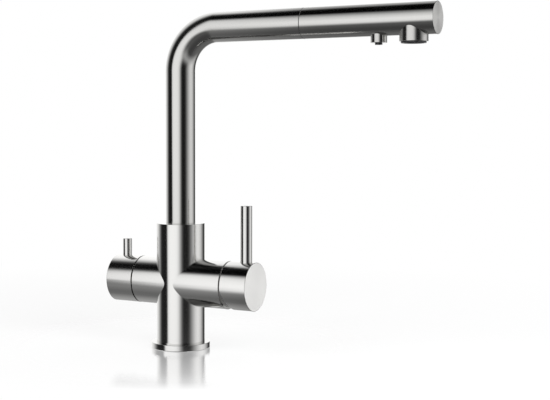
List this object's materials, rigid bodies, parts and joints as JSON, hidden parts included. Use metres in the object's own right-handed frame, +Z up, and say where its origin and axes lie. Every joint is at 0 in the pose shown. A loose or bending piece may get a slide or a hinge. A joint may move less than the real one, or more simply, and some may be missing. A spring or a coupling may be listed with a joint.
{
  "type": "pull-out mixer tap",
  "caption": "Tall kitchen tap with a swivelling L-shaped spout, a pull-out head with an aerated outlet and a filtered-water outlet, a mixer lever and a filtered-water lever.",
  "frame": {"origin": "where the column axis meets the worktop, in the plane of the base ring underside", "axes": "+Z up along the column, +X along the arms towards the mixer lever and along the stored spout, -Y towards the user"},
  "size_m": [0.3215, 0.056, 0.371],
  "materials": {
    "bearing": "matte",
    "brass": "machined",
    "cartridge": "satin",
    "ceramic": "lapped",
    "clear_tube": "satin",
    "dark_plastic": "matte",
    "dark_steel": "satin",
    "grey_plastic": "matte",
    "hose": "woven",
    "rubber": "matte",
    "steel": "brushed",
    "zinc": "plated"
  },
  "bodies": {
    "tap_body": {"body_casting": "steel", "base_ring": "steel", "deck_gasket": "rubber", "threaded_shank": "brass", "rubber_washer": "rubber", "steel_washer": "zinc", "clamp_nut": "brass", "jack_screws": "zinc", "thrust_washer": "bearing", "retaining_screw": "dark_steel", "cartridge_base": "grey_plastic", "cartridge_seals": "rubber", "cartridge_housing": "cartridge", "fixed_disc": "ceramic", "cartridge_nut": "brass", "ball_collar": "steel", "filter_headpart": "brass", "filter_seat_seal": "rubber", "filter_fixed_disc": "ceramic"},
    "spout": {"spout_tube": "steel", "spout_foot": "brass", "lower_bearing_ring": "bearing", "upper_bearing_ring": "bearing", "foot_seal": "rubber", "mouth_guide": "grey_plastic", "pull_out_hose": "hose", "filter_water_tube": "clear_tube", "hose_connector": "brass"},
    "spray_head": {"head_shell": "steel", "head_core": "grey_plastic", "docking_ring": "rubber", "non_return_valve": "dark_plastic", "aerator_collar": "steel", "aerator_gasket": "rubber", "aerator_cage": "dark_plastic", "aerator_screen": "grey_plastic", "filter_outlet_collar": "steel", "filter_nozzle": "dark_plastic", "hose_nipple": "brass", "hose_ferrule": "steel"},
    "mixer_turn": {"turning_carrier": "grey_plastic", "lever_pivot_pin": "dark_steel"},
    "mixer_lever": {"mixer_handle": "steel", "mixer_lever_pin": "steel", "lever_stem": "brass", "mixer_grub_screw": "dark_steel"},
    "mixer_disc": {"moving_disc": "ceramic", "disc_carrier": "grey_plastic"},
    "filter_turn": {"filter_handle": "steel", "filter_lever_pin": "steel", "filter_grub_screw": "dark_steel", "filter_spindle": "brass", "filter_turning_disc": "ceramic"}
  },
  "joints": [
    {"name": "spout_swivel", "type": "hinge", "parent": "tap_body", "child": "spout", "pos_m": [0, 0, 0.1], "axis": [0, 0, 1], "range_deg": [-200, 20]},
    {"name": "head_pull", "type": "slide", "parent": "spout", "child": "spray_head", "axis": [1, 0, 0], "range_m": [0, 0.25], "deforming": ["pull_out_hose", "filter_water_tube"]},
    {"name": "mixer_temperature", "type": "hinge", "parent": "tap_body", "child": "mixer_turn", "pos_m": [0.044, 0, 0.062], "axis": [1, 0, 0], "range_deg": [-45, 45]},
    {"name": "mixer_flow", "type": "hinge", "parent": "mixer_turn", "child": "mixer_lever", "pos_m": [0.044, 0, 0.062], "axis": [0, 1, 0], "range_deg": [0, 16]},
    {"name": "disc_slide", "type": "slide", "parent": "mixer_turn", "child": "mixer_disc", "axis": [0, 0, 1], "range_m": [0, 0.0031]},
    {"name": "filter_quarter_turn", "type": "hinge", "parent": "tap_body", "child": "filter_turn", "pos_m": [-0.03, 0, 0.062], "axis": [1, 0, 0], "range_deg": [0, 90]}
  ],
  "couplings": [
    {"joint": "disc_slide", "follows": "mixer_flow", "m_per_rad": 0.011}
  ]
}
